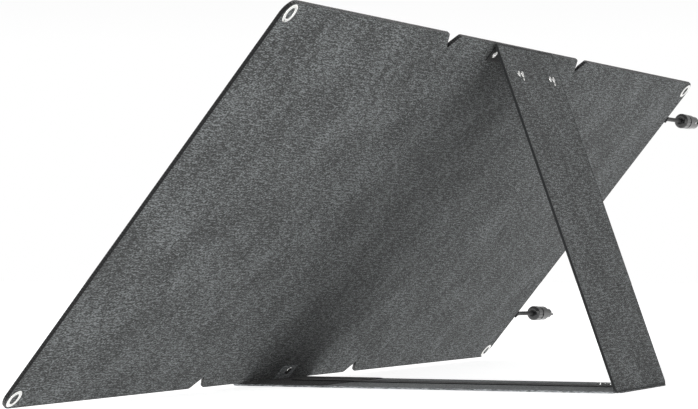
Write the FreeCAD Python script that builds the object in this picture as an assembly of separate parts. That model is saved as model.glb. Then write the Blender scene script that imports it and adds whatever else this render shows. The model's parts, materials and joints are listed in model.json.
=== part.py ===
import FreeCAD, Part
import math
import os

os.makedirs("parts", exist_ok=True)

# Fold-out camping solar panel: three fabric-backed sections joined by two folds, standing on a fold-out stand.
# Sizes in millimetres. The row frame has +Z up, the cells face -Y, and x runs along the row of sections.

# ---- driving dimensions ----
PANEL_H = 516.0  # height of a section along its slope
PANEL_T = 4.2  # full thickness of a section
TILT = 50.85  # slope of the panel from the ground, degrees
END_SECTION_W = 437.0  # the plain end section
SECTION_W = 445.0  # the middle section
CABLE_SECTION_W = 508.0  # the end section that the leads leave from
CORNER_R = 17.0  # outer corners
FOLD_A_GAP = 5.0  # from the fold line to each section's rigid edge
FOLD_B_GAP = 8.0
NOTCH_HALF = 18.0  # V notch at both ends of a fold line
NOTCH_DEEP = 18.0
NOTCH_LIP_R = 6.0
LIFT = 3.6  # height of the panel's lower back edge above the ground

BACK_T = 0.8  # grey back cover
BOARD_T = 1.6  # stiffening board
SHEET_T = 0.4  # laminate's back sheet
CELL_T = 0.25
RIBBON_T = 0.1
FILM_T = 0.5  # clear front film
BAND_T = 1.2  # black edge band, measured in the panel's plane
FIT = 0.2  # between an edge band and what it goes round
BORDER_W = 28.0  # black border on the front
SHEET_INSET = 22.0  # from a section's edge to its laminate
LEAD_MARGIN = 55.0  # more of it at the end that the leads leave from
FILM_LAP = 0.3

CELL_COLS = 4
CELL_ROWS = 5
CELL_GAP = 3.0
CELL_MARGIN = 5.0
CELL_CHAMFER = 6.0
RIBBONS_PER_CELL = 3
RIBBON_W = 1.2

EYELET_R = 11.0
EYELET_HOLE_R = 6.2
EYELET_BARREL_R = 7.0
EYELET_LIP = 0.8
EYELET_X = 14.0  # in from the end of the row
EYELET_S = 13.0  # in from the top and bottom edges

STAND_W = 196.0
STAND_X = 37.0
STAND_R = 7.0
LEG_TILT = 19.7  # leg from the vertical, degrees
LEG_T = 2.8
LEG_COVER_T = 0.7
LEG_TOP = 3.0  # leg above its pivot
PIVOT_DOWN = 1.1  # leg's pivot below the panel's top edge, along the slope
PIVOT_BACK = 4.2  # leg's pivot behind the panel's back
FLOOR_GAP = 0.4  # under the leg's lower end
STAND_BAND_T = 1.0

BASE_T = 2.4
BASE_COVER_T = 0.5
BASE_END = -14.0  # y of the base board's free end, from the panel's lower back edge
BASE_CLEAR = 1.2  # base board's end to the leg
FOOT_OUT = 1.0  # foot's pivot outside the leg's outer face
FOOT_UP = 0.5  # foot's pivot above the ground
FLAP_T = 0.8
FLAP_LONG = 106.0
STRAP_W = 40.0
STRAP_T = 1.0
STRAP_START = 24.0
STRAP_X = 26.0

TOP_FLAP_S = 24.0
TOP_FLAP_T = 0.8
TOP_FLAP_IN = 10.0
RIVET_R = 5.2
RIVET_T = 1.3
RIVET_IN = 22.5
RIVET_S = 13.0
TAB_W = 42.0
TAB_S = 22.0
TAB_T = 1.0
SNAP_R = 5.5
SNAP_T = 1.6
FOOT_SNAP_IN = 49.0  # from the base board's side
FOOT_SNAP_OUT = 48.6  # from the base board's end by the foot
FOOT_SNAP_PITCH = 13.0

STUD_R = 3.8
STUD_T = 1.4
STUD_D = 32.5
STUD_PITCH = 12.0
STUD_SETS = (88.2, -23.0)
DOT_R = 1.9
DOT_T = 1.0
DOT_D = 38.6

LEAD_D = 6.0
LEAD_UP_S = 451.0
LEAD_LOW_S = 82.0
EXIT_LONG = 3.0
EXIT_W = 10.0
EXIT_T = 7.8
LEAD_INTO_CONNECTOR = 10.0
BODY_START = 9.4  # connector body's inner end, from the gland nut's outer face
SEAL_WALL = 1.95
TURN_GAP = 0.1  # between the gland nut and what it turns on
NUT_R = 10.8
NUT_FACE_R = 7.4
NUT_LONG = 15.6
NUT_GROOVES = 12
SPIGOT_R = 8.0  # body inside the gland nut
COLLAR_R = 10.4  # body outside the gland nut
COLLAR_START = 18.0
PIN_R = 2.1
SOCKET_R = 3.1
PIN_BODY_LONG = 46.0
SOCKET_BODY_LONG = 50.0

ROW_L = END_SECTION_W + SECTION_W + CABLE_SECTION_W
END_A = ROW_L / 2
FOLD_A = END_A - END_SECTION_W
FOLD_B = FOLD_A - SECTION_W
END_C = -ROW_L / 2

slope = math.radians(TILT)
tau = math.radians(LEG_TILT)


def slope_point(s, n):
    """Panel coordinates, up the slope and out of the cell side, to y and z."""
    y = s * math.cos(slope) - n * math.sin(slope)
    z = LIFT + s * math.sin(slope) + n * math.cos(slope)
    return y, z


PIVOT_Y, PIVOT_Z = slope_point(PANEL_H - PIVOT_DOWN, -PIVOT_BACK)
LEG_END = (PIVOT_Z - FLOOR_GAP - LEG_T / 2 * math.sin(tau)) / math.cos(tau)
FOOT_FACE_Y = PIVOT_Y + PIVOT_Z * math.tan(tau)
INNER_Y = FOOT_FACE_Y - LEG_T / 2 / math.cos(tau)
BASE_FAR = INNER_Y - (BASE_T + FLAP_T) * math.tan(tau) - BASE_CLEAR
FOOT_Y = FOOT_FACE_Y + (LEG_T / 2 + FOOT_OUT) / math.cos(tau) - FOOT_UP * math.tan(tau)
FOLD_R = FOOT_OUT + 0.6
Y_LOW = slope_point(0, PANEL_T)[0]
Y_HIGH = FOOT_Y + 0.6
Y_MID = (Y_LOW + Y_HIGH) / 2


def rounded(points):
    """A closed flat face through the corners (x, y, radius), with each corner rounded."""
    edges = []
    n = len(points)
    ends = []
    for i in range(n):
        ax, ay = points[i - 1][0], points[i - 1][1]
        bx, by, r = points[i]
        cx, cy = points[(i + 1) % n][0], points[(i + 1) % n][1]
        a = FreeCAD.Vector(ax, ay, 0)
        b = FreeCAD.Vector(bx, by, 0)
        c = FreeCAD.Vector(cx, cy, 0)
        u = (a - b).normalize()
        v = (c - b).normalize()
        if r <= 0:
            ends.append((b, None, b))
            continue
        half = u.getAngle(v) / 2
        cut = r / math.tan(half)
        mid = (u + v).normalize()
        centre = b + mid * (r / math.sin(half))
        ends.append((b + u * cut, centre - mid * r, b + v * cut))
    for i in range(n):
        start, middle, stop = ends[i]
        if middle is not None:
            edges.append(Part.Arc(start, middle, stop).toShape())
        following = ends[(i + 1) % n][0]
        if stop.distanceToPoint(following) > 1e-6:
            edges.append(Part.LineSegment(stop, following).toShape())
    return Part.Face(Part.Wire(edges))


def plate(face, low, high):
    """A flat solid from a face at height 0, between two heights."""
    solid = face.extrude(FreeCAD.Vector(0, 0, high - low))
    solid.translate(FreeCAD.Vector(0, 0, low))
    return solid


def rectangle(x0, x1, y0, y1, r=0.0):
    return rounded([(x0, y0, r), (x1, y0, r), (x1, y1, r), (x0, y1, r)])


def disc(x, y, r, low, high):
    return Part.makeCylinder(r, high - low, FreeCAD.Vector(x, y, low), FreeCAD.Vector(0, 0, 1))


def cap(x, y, r, low, high):
    """A low round cap with a rolled rim: away from low, whichever way high lies."""
    t = abs(high - low)
    d = FreeCAD.Vector(0, 0, 1 if high > low else -1)
    solid = Part.makeCylinder(r, t, FreeCAD.Vector(x, y, low), d)
    rims = [e for e in solid.Edges if abs(e.BoundBox.ZMax - high) < 1e-6 and e.BoundBox.ZLength < 1e-6]
    return solid.makeFillet(t * 0.6, rims)


def shrink(face, d):
    return face.makeOffset2D(-d)


def section_face(low, high, notch_low, notch_high):
    """A section's outline. A side with a notch gives (fold line, gap); an outer side gives None."""
    def side(edge, notch, sign):
        if notch is None:
            return [(edge, PANEL_H, CORNER_R), (edge, 0.0, CORNER_R)]
        fold, gap = notch
        cut = NOTCH_DEEP * (NOTCH_HALF - gap) / NOTCH_HALF
        x = fold + sign * gap
        lip = fold + sign * NOTCH_HALF
        return [(lip, PANEL_H, NOTCH_LIP_R), (x, PANEL_H - cut, 2.0), (x, cut, 2.0), (lip, 0.0, NOTCH_LIP_R)]
    left = side(low, notch_low, 1)
    right = side(high, notch_high, -1)
    right.reverse()
    return rounded(left + right)


def on_slope(shape):
    """From the panel's own plane to the row frame."""
    shape.rotate(FreeCAD.Vector(0, 0, 0), FreeCAD.Vector(1, 0, 0), TILT)
    shape.translate(FreeCAD.Vector(0, -Y_MID, LIFT))
    return shape


def on_leg(shape):
    """From the leg's own plane, where y runs down from the pivot and z outward, to the row frame."""
    shape.rotate(FreeCAD.Vector(0, 0, 0), FreeCAD.Vector(1, 0, 0), -(90.0 - LEG_TILT))
    shape.translate(FreeCAD.Vector(0, PIVOT_Y - Y_MID, PIVOT_Z))
    return shape


def on_ground(shape):
    shape.translate(FreeCAD.Vector(0, -Y_MID, 0))
    return shape


def export(name, solids, place):
    if not isinstance(solids, list):
        solids = [solids]
    moved = [place(s.copy()) for s in solids]
    shape = moved[0] if len(moved) == 1 else Part.makeCompound(moved)
    for s in moved:
        if not s.isValid():
            raise RuntimeError(name + " has an invalid solid")
    shape.exportStep("parts/" + name + ".step")
    box = shape.BoundBox
    print(f"{name:22s} solids {len(shape.Solids):3d}  volume {shape.Volume:12.1f}  "
          f"x {box.XMin:8.1f} {box.XMax:8.1f}  y {box.YMin:8.1f} {box.YMax:8.1f}  z {box.ZMin:7.1f} {box.ZMax:7.1f}")


def only(shape):
    """The single solid in the result of a cut or a fuse."""
    if len(shape.Solids) != 1:
        raise RuntimeError("a piece fell apart")
    return shape.Solids[0]


# ---- the three sections ----
def section(prefix, low, high, notch_low, notch_high, eyelets):
    outline = section_face(low, high, notch_low, notch_high)
    x0 = low if notch_low is None else notch_low[0] + notch_low[1]
    x1 = high if notch_high is None else notch_high[0] - notch_high[1]
    inner = shrink(outline, BAND_T)
    core = shrink(outline, BAND_T + FIT)
    board_top = BACK_T + BOARD_T
    sheet_top = board_top + SHEET_T
    cell_top = sheet_top + CELL_T
    film_low = cell_top + RIBBON_T
    film_top = film_low + FILM_T
    holes = [disc(x, s, EYELET_BARREL_R, -1.0, PANEL_T + 1.0) for x, s in eyelets]

    def bored(solid):
        for h in holes:
            solid = solid.cut(h)
        return only(solid)

    export(prefix + "_back_cover", bored(plate(outline, 0.0, BACK_T)), on_slope)
    band = plate(outline, BACK_T, PANEL_T).cut(plate(inner, 0.0, PANEL_T + 1.0))
    export(prefix + "_edge_band", only(band), on_slope)
    export(prefix + "_board", bored(plate(core, BACK_T, board_top)), on_slope)

    lx0, lx1 = x0 + SHEET_INSET, x1 - SHEET_INSET
    if prefix == "cable":
        lx0 = lx0 + LEAD_MARGIN
    ly0, ly1 = SHEET_INSET, PANEL_H - SHEET_INSET
    export(prefix + "_back_sheet", plate(rectangle(lx0, lx1, ly0, ly1), board_top, sheet_top), on_slope)
    cells = []
    ribbons = []
    field_w = lx1 - lx0 - 2 * CELL_MARGIN
    field_h = ly1 - ly0 - 2 * CELL_MARGIN
    cell_w = (field_w - (CELL_COLS - 1) * CELL_GAP) / CELL_COLS
    cell_h = (field_h - (CELL_ROWS - 1) * CELL_GAP) / CELL_ROWS
    for i in range(CELL_COLS):
        cx = lx0 + CELL_MARGIN + i * (cell_w + CELL_GAP)
        for j in range(CELL_ROWS):
            cy = ly0 + CELL_MARGIN + j * (cell_h + CELL_GAP)
            k = CELL_CHAMFER
            corners = [(cx + k, cy, 0), (cx + cell_w - k, cy, 0), (cx + cell_w, cy + k, 0),
                       (cx + cell_w, cy + cell_h - k, 0), (cx + cell_w - k, cy + cell_h, 0),
                       (cx + k, cy + cell_h, 0), (cx, cy + cell_h - k, 0), (cx, cy + k, 0)]
            cells.append(plate(rounded(corners), sheet_top, cell_top))
        for j in range(RIBBONS_PER_CELL):
            rx = cx + cell_w * (j + 0.5) / RIBBONS_PER_CELL
            strip = rectangle(rx - RIBBON_W / 2, rx + RIBBON_W / 2, ly0 + 2.0, ly1 - 2.0)
            ribbons.append(plate(strip, cell_top, film_low))
    export(prefix + "_cells", cells, on_slope)
    export(prefix + "_ribbons", ribbons, on_slope)
    export(prefix + "_front_film", plate(rectangle(lx0, lx1, ly0, ly1), film_low, film_top), on_slope)

    lap = BORDER_W - SHEET_INSET
    low_hole = rectangle(lx0 - FILM_LAP, lx1 + FILM_LAP, ly0 - FILM_LAP, ly1 + FILM_LAP)
    top_hole = rectangle(lx0 + lap, lx1 - lap, ly0 + lap, ly1 - lap, 8.0)
    border = plate(core, board_top, PANEL_T)
    border = border.cut(plate(low_hole, board_top - 1.0, film_top))
    border = border.cut(plate(top_hole, film_top - 0.5, PANEL_T + 1.0))
    export(prefix + "_front_border", bored(only(border)), on_slope)


def eyelet(x, s):
    """A two-flanged round eyelet through a section's corner."""
    low, high = -EYELET_LIP, PANEL_T + EYELET_LIP
    r0, r1, r2 = EYELET_HOLE_R, EYELET_BARREL_R, EYELET_R
    c = 0.35
    profile = [(r0, low + c), (r0 + c, low), (r2 - c, low), (r2, low + c), (r2, 0.0), (r1, 0.0),
               (r1, PANEL_T), (r2, PANEL_T), (r2, high - c), (r2 - c, high), (r0 + c, high), (r0, high - c)]
    points = [FreeCAD.Vector(r, 0, h) for r, h in profile]
    face = Part.Face(Part.makePolygon(points + points[:1]))
    ring = face.revolve(FreeCAD.Vector(0, 0, 0), FreeCAD.Vector(0, 0, 1), 360)
    ring.translate(FreeCAD.Vector(x, s, 0))
    return ring


CORNERS_A = [(END_A - EYELET_X, EYELET_S), (END_A - EYELET_X, PANEL_H - EYELET_S)]
CORNERS_C = [(END_C + EYELET_X, EYELET_S), (END_C + EYELET_X, PANEL_H - EYELET_S)]
section("end", FOLD_A, END_A, (FOLD_A, FOLD_A_GAP), None, CORNERS_A)
section("middle", FOLD_B, FOLD_A, (FOLD_B, FOLD_B_GAP), (FOLD_A, FOLD_A_GAP), [])
section("cable", END_C, FOLD_B, None, (FOLD_B, FOLD_B_GAP), CORNERS_C)
export("end_eyelets", [eyelet(x, s) for x, s in CORNERS_A], on_slope)
export("cable_eyelets", [eyelet(x, s) for x, s in CORNERS_C], on_slope)

# ---- the two folds: fabric strips between the rigid edges ----
STRIP_CLEAR = 0.4
STRIP_TOUCH = 0.02
STRIP_MORE = 0.4
for name, fold, gap, side in (("fold_strip_a", FOLD_A, FOLD_A_GAP, 1), ("fold_strip_b", FOLD_B, FOLD_B_GAP, -1)):
    ends = sorted((fold + side * (gap - STRIP_CLEAR), fold - side * (gap - STRIP_TOUCH)))
    strip = rectangle(ends[0], ends[1], NOTCH_DEEP, PANEL_H - NOTCH_DEEP, 1.5)
    export(name, plate(strip, 0.0, BACK_T + STRIP_MORE), on_slope)

# ---- top flap of the leg, riveted to the middle section's back ----
FLAP_X0 = STAND_X - STAND_W / 2 + TOP_FLAP_IN
FLAP_X1 = STAND_X + STAND_W / 2 - TOP_FLAP_IN
flap = rectangle(FLAP_X0, FLAP_X1, PANEL_H - TOP_FLAP_S, PANEL_H - 0.5, 1.0)
export("top_flap", plate(flap, -TOP_FLAP_T, 0.0), on_slope)
RIVETS_X = (STAND_X - STAND_W / 2 + RIVET_IN, STAND_X + STAND_W / 2 - RIVET_IN)
rivets = [cap(x, PANEL_H - RIVET_S, RIVET_R, -TOP_FLAP_T, -TOP_FLAP_T - RIVET_T) for x in RIVETS_X]
export("top_rivets", rivets, on_slope)

# ---- bottom tab and its press stud ----
tab = rectangle(STRAP_X - TAB_W / 2, STRAP_X + TAB_W / 2, 1.0, TAB_S, 2.0)
export("bottom_tab", plate(tab, -TAB_T, 0.0), on_slope)
snap_s = TAB_S - 7.0
export("bottom_snap", cap(STRAP_X, snap_s, SNAP_R, -TAB_T, -TAB_T - SNAP_T), on_slope)

# ---- leg ----
LX0 = STAND_X - STAND_W / 2
LX1 = STAND_X + STAND_W / 2
leg_face = rounded([(LX0, -LEG_TOP, 2.0), (LX1, -LEG_TOP, 2.0), (LX1, LEG_END, STAND_R), (LX0, LEG_END, STAND_R)])
leg_core = shrink(leg_face, STAND_BAND_T)
half = LEG_T / 2
export("leg_outer_cover", plate(leg_face, half - LEG_COVER_T, half), on_leg)
export("leg_inner_cover", plate(leg_face, -half, -half + LEG_COVER_T), on_leg)
export("leg_board", plate(leg_core, -half + LEG_COVER_T, half - LEG_COVER_T), on_leg)
band = plate(leg_face, -half + LEG_COVER_T, half - LEG_COVER_T).cut(plate(leg_core, -LEG_T, LEG_T))
export("leg_edge_band", only(band), on_leg)
studs = []
dots = []
for x in STUD_SETS:
    for dx in (-STUD_PITCH / 2, STUD_PITCH / 2):
        studs.append(cap(x + dx, STUD_D, STUD_R, half, half + STUD_T))
    dots.append(cap(x - STUD_PITCH / 2, DOT_D, DOT_R, half, half + DOT_T))
export("leg_studs", studs, on_leg)
export("leg_pins", dots, on_leg)

# ---- foot fold: a rounded fabric strip along the leg's lower end ----
axis_d = LEG_END + 0.0
roll = Part.makeCylinder(0.9, STAND_W - 2 * STAND_R, FreeCAD.Vector(LX0 + STAND_R, 0, 0), FreeCAD.Vector(1, 0, 0))
roll.translate(FreeCAD.Vector(0, FOOT_Y, FOOT_UP + 0.5))
export("foot_fold", roll, on_ground)

# ---- base board ----
base_face = rounded([(LX0, BASE_END, STAND_R), (LX1, BASE_END, STAND_R), (LX1, BASE_FAR, 2.0), (LX0, BASE_FAR, 2.0)])
base_core = shrink(base_face, STAND_BAND_T)
export("base_lower_cover", plate(base_face, 0.0, BASE_COVER_T), on_ground)
export("base_upper_cover", plate(base_face, BASE_T - BASE_COVER_T, BASE_T), on_ground)
export("base_board", plate(base_core, BASE_COVER_T, BASE_T - BASE_COVER_T), on_ground)
band = plate(base_face, BASE_COVER_T, BASE_T - BASE_COVER_T).cut(plate(base_core, -1.0, BASE_T + 1.0))
export("base_edge_band", only(band), on_ground)
end_flap = rounded([(LX0 + 1, BASE_END + 1, STAND_R), (LX1 - 1, BASE_END + 1, STAND_R),
                    (LX1 - 1, FLAP_LONG, STAND_R), (LX0 + 1, FLAP_LONG, STAND_R)])
export("base_flap", plate(end_flap, BASE_T, BASE_T + FLAP_T), on_ground)


def strap(x, width):
    """Webbing along the base board, over the end flap's edge and down onto the board."""
    low, high = BASE_T, BASE_T + FLAP_T
    end = FLAP_LONG
    far = BASE_FAR - 12.0
    profile = [(STRAP_START, high), (end + 0.3, high), (end + 1.5, low), (far, low), (far, low + STRAP_T),
               (end + 2.0, low + STRAP_T), (end + 0.8, high + STRAP_T), (STRAP_START, high + STRAP_T)]
    points = [FreeCAD.Vector(x - width / 2, y, z) for y, z in profile]
    face = Part.Face(Part.makePolygon(points + points[:1]))
    return face.extrude(FreeCAD.Vector(width, 0, 0))


export("base_strap", strap(STRAP_X, STRAP_W), on_ground)
snap_y = [BASE_FAR - FOOT_SNAP_OUT - i * FOOT_SNAP_PITCH for i in range(2)]
foot_snaps = [cap(LX0 + FOOT_SNAP_IN, y, SNAP_R, BASE_T, BASE_T + SNAP_T) for y in snap_y]
export("foot_snaps", foot_snaps, on_ground)

# ---- leads and connectors at the cable section's outer edge ----
LEAD_N = PANEL_T / 2


def lead_frame(s):
    y, z = slope_point(s, LEAD_N)
    return END_C, y - Y_MID, z


def tube(points, radius):
    """A round tube of straight runs joined by tangent arcs, and the arcs' radii."""
    v = [FreeCAD.Vector(*p) for p in points]
    edges = []
    radii = []
    here = v[0]
    for i in range(1, len(v) - 1):
        a = (v[i - 1] - v[i])
        b = (v[i + 1] - v[i])
        shorter = min(a.Length, b.Length)
        cut = 0.45 * shorter
        a.normalize()
        b.normalize()
        turn = math.pi - a.getAngle(b)
        r = cut / math.tan(turn / 2)
        radii.append(round(r, 1))
        start = v[i] + a * cut
        stop = v[i] + b * cut
        mid = (a + b).normalize()
        centre = v[i] + mid * (r / math.cos(turn / 2))
        middle = centre - mid * r
        edges.append(Part.LineSegment(here, start).toShape())
        edges.append(Part.Arc(start, middle, stop).toShape())
        here = stop
    edges.append(Part.LineSegment(here, v[-1]).toShape())
    path = Part.Wire(edges)
    d = (v[1] - v[0]).normalize()
    ring = Part.Wire([Part.makeCircle(radius, v[0], d)])
    solid = path.makePipeShell([ring], True, True)
    length = sum(e.Length for e in edges)
    return solid, length, radii


def along(x, y, z, d):
    """Turns a shape made along +Z so that it runs along d from (x, y, z)."""
    turn = FreeCAD.Rotation(FreeCAD.Vector(0, 0, 1), d)
    return FreeCAD.Placement(FreeCAD.Vector(x, y, z), turn)


def spun(profile):
    points = [FreeCAD.Vector(r, 0, h) for r, h in profile]
    face = Part.Face(Part.makePolygon(points + points[:1]))
    return face.revolve(FreeCAD.Vector(0, 0, 0), FreeCAD.Vector(0, 0, 1), 360)


def connector_pieces(male):
    """Gland nut, seal, body and contact, made along +Z from the lead's end."""
    r = LEAD_D / 2 + 0.05
    seal_r = r + SEAL_WALL
    mouth = seal_r + TURN_GAP
    bore = SPIGOT_R + TURN_GAP
    shelf = BODY_START - TURN_GAP
    seal = spun([(r, 1.2), (seal_r, 1.2), (seal_r, shelf - 0.3), (r, shelf - 0.3)])
    face = [(mouth, 0.0), (max(NUT_FACE_R, mouth + 1.0), 0.0), (NUT_R - 1.0, 1.2), (NUT_R, 3.2)]
    back = [(NUT_R, NUT_LONG - 1.0), (NUT_R - 0.8, NUT_LONG), (bore, NUT_LONG), (bore, shelf), (mouth, shelf)]
    nut = spun(face + back)
    for i in range(NUT_GROOVES):
        groove = Part.makeCylinder(0.9, NUT_LONG - 4.1, FreeCAD.Vector(NUT_R + 0.3, 0, 3.5), FreeCAD.Vector(0, 0, 1))
        groove.rotate(FreeCAD.Vector(0, 0, 0), FreeCAD.Vector(0, 0, 1), 360.0 / NUT_GROOVES * i)
        nut = nut.cut(groove)
    inner = [(r, BODY_START), (SPIGOT_R, BODY_START), (SPIGOT_R, COLLAR_START), (COLLAR_R, COLLAR_START)]
    if male:
        end = PIN_BODY_LONG
        shell_r = COLLAR_R - 1.2
        shell = [(COLLAR_R, end - 16.0), (shell_r, end - 14.0), (shell_r, end - 1.0), (shell_r - 1.0, end)]
        cup = [(shell_r - 2.6, end), (shell_r - 2.6, end - 12.0), (PIN_R + 0.1, end - 12.0)]
        body = spun(inner + shell + cup + [(PIN_R + 0.1, 20.0), (r, 20.0)])
        for side in (1, -1):
            y = shell_r - 3.0 if side > 0 else -shell_r - 2.0
            body = body.cut(Part.makeBox(2.6, 5.0, 8.0, FreeCAD.Vector(-1.3, y, end - 11.0)))
        contact = spun([(0.0, 20.5), (PIN_R, 20.5), (PIN_R, end - 4.0), (PIN_R - 0.7, end - 2.5), (0.0, end - 2.5)])
    else:
        end = SOCKET_BODY_LONG
        nose_r = COLLAR_R - 3.4
        nose = [(COLLAR_R, end - 17.0), (nose_r, end - 15.0), (nose_r, end - 1.0), (nose_r - 0.8, end)]
        body = spun(inner + nose + [(SOCKET_R + 0.1, end), (SOCKET_R + 0.1, 20.0), (r, 20.0)])
        for side in (1, -1):
            y = COLLAR_R - 2.0 if side > 0 else -COLLAR_R + 0.2
            finger = Part.makeBox(3.0, 1.8, 16.0, FreeCAD.Vector(-1.5, y, end - 18.0))
            body = body.fuse(finger)
        contact = spun([(PIN_R + 0.1, 20.5), (SOCKET_R, 20.5), (SOCKET_R, end - 4.0), (PIN_R + 0.1, end - 4.0)])
    return only(nut), seal, only(body.removeSplitter()), contact


def lead(name, s, route, male):
    x, y, z = lead_frame(s)
    points = [(x - dx, y + dy, z + dz) for dx, dy, dz in route]
    solid, length, radii = tube(points, LEAD_D / 2)
    section_area = math.pi * LEAD_D ** 2 / 4
    share = solid.Volume / (section_area * length)
    print(f"{name} lead: length {length:.1f}, radii {radii}, volume over section times length {share:.4f}")
    export(name + "_lead", solid, lambda q: q)
    d = FreeCAD.Vector(*points[-1]) - FreeCAD.Vector(*points[-2])
    d.normalize()
    end = FreeCAD.Vector(*points[-1])
    origin = end - d * LEAD_INTO_CONNECTOR
    place = along(origin.x, origin.y, origin.z, d)
    for piece, solid in zip(("nut", "seal", "body", "contact"), connector_pieces(male)):
        solid.Placement = place
        export(name + "_connector_" + piece, solid, lambda q: q)
    print(f"{name} connector axis from", [round(v, 4) for v in origin], "along", [round(v, 6) for v in d])


EXIT_OUT = EXIT_LONG
upper_route = [(EXIT_OUT, 0, 0), (18.0, 0, 0), (44.0, 3.2, -0.2), (70.0, 7.0, -0.8)]
lower_route = [(EXIT_OUT, 0, 0), (18.0, 0, 0), (42.0, 5.0, -0.3), (66.0, 8.6, -0.8)]
lead("upper", LEAD_UP_S, upper_route, True)
lead("lower", LEAD_LOW_S, lower_route, False)
exits = []
for s in (LEAD_UP_S, LEAD_LOW_S):
    face = rectangle(END_C - EXIT_LONG, END_C, s - EXIT_W / 2, s + EXIT_W / 2, min(1.0, EXIT_LONG / 3))
    block = plate(face, LEAD_N - EXIT_T / 2, LEAD_N + EXIT_T / 2)
    ends = [e for e in block.Edges if abs(e.BoundBox.ZLength) < 1e-6]
    exits.append(block.makeFillet(min(0.6, EXIT_LONG / 4), ends))
export("lead_exits", exits, on_slope)

print("pivot y z", round(PIVOT_Y - Y_MID, 3), round(PIVOT_Z, 3))
print("foot y z", round(FOOT_Y - Y_MID, 3), FOOT_UP)
print("fold a x", FOLD_A, "fold b x", FOLD_B, "y_mid", round(Y_MID, 3))
print("slope origin y z", round(-Y_MID, 3), LIFT)
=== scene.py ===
import json
import math

import bmesh
import bpy
import numpy as np
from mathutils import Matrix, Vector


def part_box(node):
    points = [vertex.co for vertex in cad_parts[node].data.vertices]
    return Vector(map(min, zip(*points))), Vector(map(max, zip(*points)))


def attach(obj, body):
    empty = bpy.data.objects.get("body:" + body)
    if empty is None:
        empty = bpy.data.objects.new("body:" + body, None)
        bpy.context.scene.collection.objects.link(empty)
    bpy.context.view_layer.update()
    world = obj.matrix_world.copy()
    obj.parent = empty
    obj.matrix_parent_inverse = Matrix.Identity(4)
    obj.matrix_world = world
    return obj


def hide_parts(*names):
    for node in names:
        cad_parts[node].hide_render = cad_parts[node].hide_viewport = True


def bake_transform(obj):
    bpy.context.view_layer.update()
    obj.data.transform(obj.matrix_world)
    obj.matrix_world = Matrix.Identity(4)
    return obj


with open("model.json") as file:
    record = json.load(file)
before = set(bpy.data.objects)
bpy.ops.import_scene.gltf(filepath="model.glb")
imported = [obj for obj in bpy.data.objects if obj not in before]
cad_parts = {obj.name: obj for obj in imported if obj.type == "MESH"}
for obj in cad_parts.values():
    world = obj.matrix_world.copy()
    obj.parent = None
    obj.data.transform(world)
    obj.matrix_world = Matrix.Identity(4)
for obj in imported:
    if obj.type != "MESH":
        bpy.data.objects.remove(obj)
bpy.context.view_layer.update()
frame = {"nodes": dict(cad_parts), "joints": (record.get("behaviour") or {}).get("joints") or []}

bl_info = {
    "name": "Fold-out solar panel",
    "version": (1, 0, 0),
    "blender": (4, 5, 0),
    "location": "View3D > Sidebar > Solar panel",
    "description": "Builds the fabric, bands, fittings, leads and stage round the panel's frame",
    "category": "Object",
}

NODES = frame["nodes"]
JOINTS = {j["name"]: j for j in frame["joints"]}

# ---- planes and outlines, from the frame ----
MM = 0.001
COS, SIN = -JOINTS["end_fold"]["axis"][1], -JOINTS["end_fold"]["axis"][2]
PANEL_T = 4.2 * MM
BACK_T = 0.8 * MM
CORNER_R = 17 * MM
NOTCH = 18 * MM
NOTCH_LIP_R = 6 * MM
NOTCH_FOOT_R = 2 * MM
FOLD_A_GAP = 5 * MM
FOLD_B_GAP = 8 * MM
EYELET_X = 14 * MM
EYELET_S = 13 * MM
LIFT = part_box("middle_back_cover")[0].z
FRONT_EDGE_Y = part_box("middle_back_cover")[0].y + BACK_T * SIN
PANEL_H = (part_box("middle_back_cover")[1].z - LIFT - BACK_T * COS) / SIN
END_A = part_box("end_back_cover")[1].x
END_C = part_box("cable_back_cover")[0].x
FOLD_A = JOINTS["end_fold"]["pos_m"][0]
FOLD_B = JOINTS["cable_fold"]["pos_m"][0]

LEG_T = 2.8 * MM
LEG_TOP = 3 * MM
LEG_R = 7 * MM
LEG_TILT = math.radians(19.7)
PIVOT_Y, PIVOT_Z = JOINTS["leg_hinge"]["pos_m"][1:]
LEG_X0, LEG_X1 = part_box("leg_outer_cover")[0].x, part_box("leg_outer_cover")[1].x
LEG_END = (PIVOT_Z - 0.4 * MM - LEG_T / 2 * math.sin(LEG_TILT)) / math.cos(LEG_TILT)
BASE_T = 2.4 * MM
BASE_Y0, BASE_Y1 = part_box("base_lower_cover")[0].y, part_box("base_lower_cover")[1].y


def slope_plane(x, s, n):
    """Panel coordinates to the row frame: s runs up the slope and n out of the cell side."""
    return np.stack([x + 0 * s, FRONT_EDGE_Y + s * COS - n * SIN, LIFT + s * SIN + n * COS], axis=-1)


def leg_plane(x, d, m):
    """Leg coordinates to the row frame: d runs down from the pivot and m out of the leg's outer face."""
    sin, cos = math.sin(LEG_TILT), math.cos(LEG_TILT)
    return np.stack([x + 0 * d, PIVOT_Y + d * sin + m * cos, PIVOT_Z - d * cos + m * sin], axis=-1)


def ground_plane(x, y, z):
    """Base coordinates are the row frame's own."""
    return np.stack([x + 0 * y, y + 0 * x, z + 0 * x], axis=-1)


# ---- mesh helpers ----
def mesh_piece(name, points, faces, uv=None):
    """An object at the origin from points (n, 3) and a list of faces, with one UV per point."""
    mesh = bpy.data.meshes.new(name)
    mesh.from_pydata(points.tolist(), [], faces)
    if uv is not None:
        layer = mesh.uv_layers.new(name="cloth")
        index = np.zeros(len(mesh.loops), np.int32)
        mesh.loops.foreach_get("vertex_index", index)
        layer.data.foreach_set("uv", uv[index].astype(np.float32).ravel())
    mesh.polygons.foreach_set("use_smooth", np.ones(len(mesh.polygons), bool))
    mesh.validate()
    piece = bpy.data.objects.new(name, mesh)
    bpy.context.scene.collection.objects.link(piece)
    return piece


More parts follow.
